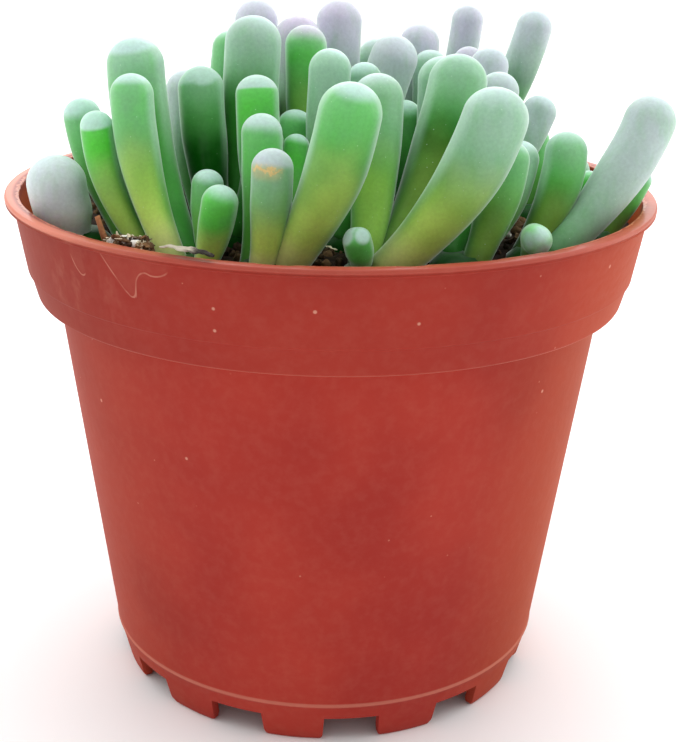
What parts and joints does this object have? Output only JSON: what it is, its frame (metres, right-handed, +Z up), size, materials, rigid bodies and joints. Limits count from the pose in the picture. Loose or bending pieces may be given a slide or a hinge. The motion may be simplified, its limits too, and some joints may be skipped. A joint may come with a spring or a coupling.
{
  "type": "potted baby toes",
  "caption": "Round tapered nursery pot filled with potting mix, with a dense clump of upright club-shaped succulent leaves standing in crowns.",
  "frame": {"origin": "on the pot's axis, in the plane that its feet stand on", "axes": "+Z up along the pot's axis, -Y towards the front of the picture, +X to its right"},
  "size_m": [0.085, 0.085, 0.0895],
  "materials": {
    "terracotta_plastic": "moulded terracotta-coloured plastic, satin, with dust and dried water marks",
    "potting_mix": "loose dark potting mix with bark, straw and pale grit",
    "leaf": "smooth juicy leaf with a pale waxy bloom towards the tip",
    "dry_needle": "dry brown conifer needle",
    "withered_skin": "papery withered leaf skin, grey and dark at one end"
  },
  "bodies": {
    "root": {"pot": "terracotta_plastic", "soil": "potting_mix", "head_back": "leaf", "head_back_right": "leaf", "head_far_left": "leaf", "head_far_rear": "leaf", "head_far_right": "leaf", "head_front": "leaf", "head_front_left": "leaf", "head_front_right": "leaf", "head_left": "leaf", "head_left_edge": "leaf", "head_mid_left": "leaf", "head_mid_right": "leaf", "head_middle": "leaf", "head_rear": "leaf", "head_rear_left": "leaf", "head_rear_right": "leaf", "head_right": "leaf", "head_right_pair": "leaf", "head_side_right": "leaf", "twig": "dry_needle", "dead_leaf_skin": "withered_skin"}
  },
  "joints": []
}
